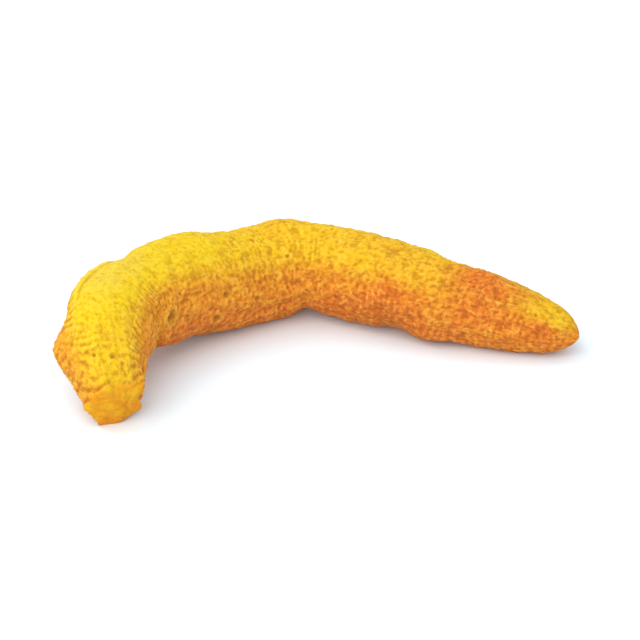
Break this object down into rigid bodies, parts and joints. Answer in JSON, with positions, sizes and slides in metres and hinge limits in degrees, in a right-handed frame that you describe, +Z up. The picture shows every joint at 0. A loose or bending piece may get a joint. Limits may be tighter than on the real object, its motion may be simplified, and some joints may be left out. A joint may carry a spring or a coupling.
{
  "type": "turmeric root",
  "caption": "Dried turmeric finger dusted with its own powder, bent near its broken end and pointed at the other, with growth rings, a bud and root scars.",
  "frame": {"origin": "on the surface that the finger lies on, under the middle of its box", "axes": "+X towards the pointed tip, +Y towards the outside of the middle bend, +Z up; the broken end points to -Y"},
  "size_m": [0.0669, 0.038, 0.015],
  "materials": {
    "turmeric_skin": "matt, dusted with powder"
  },
  "bodies": {
    "root": {"turmeric_finger": "turmeric_skin"}
  },
  "joints": []
}
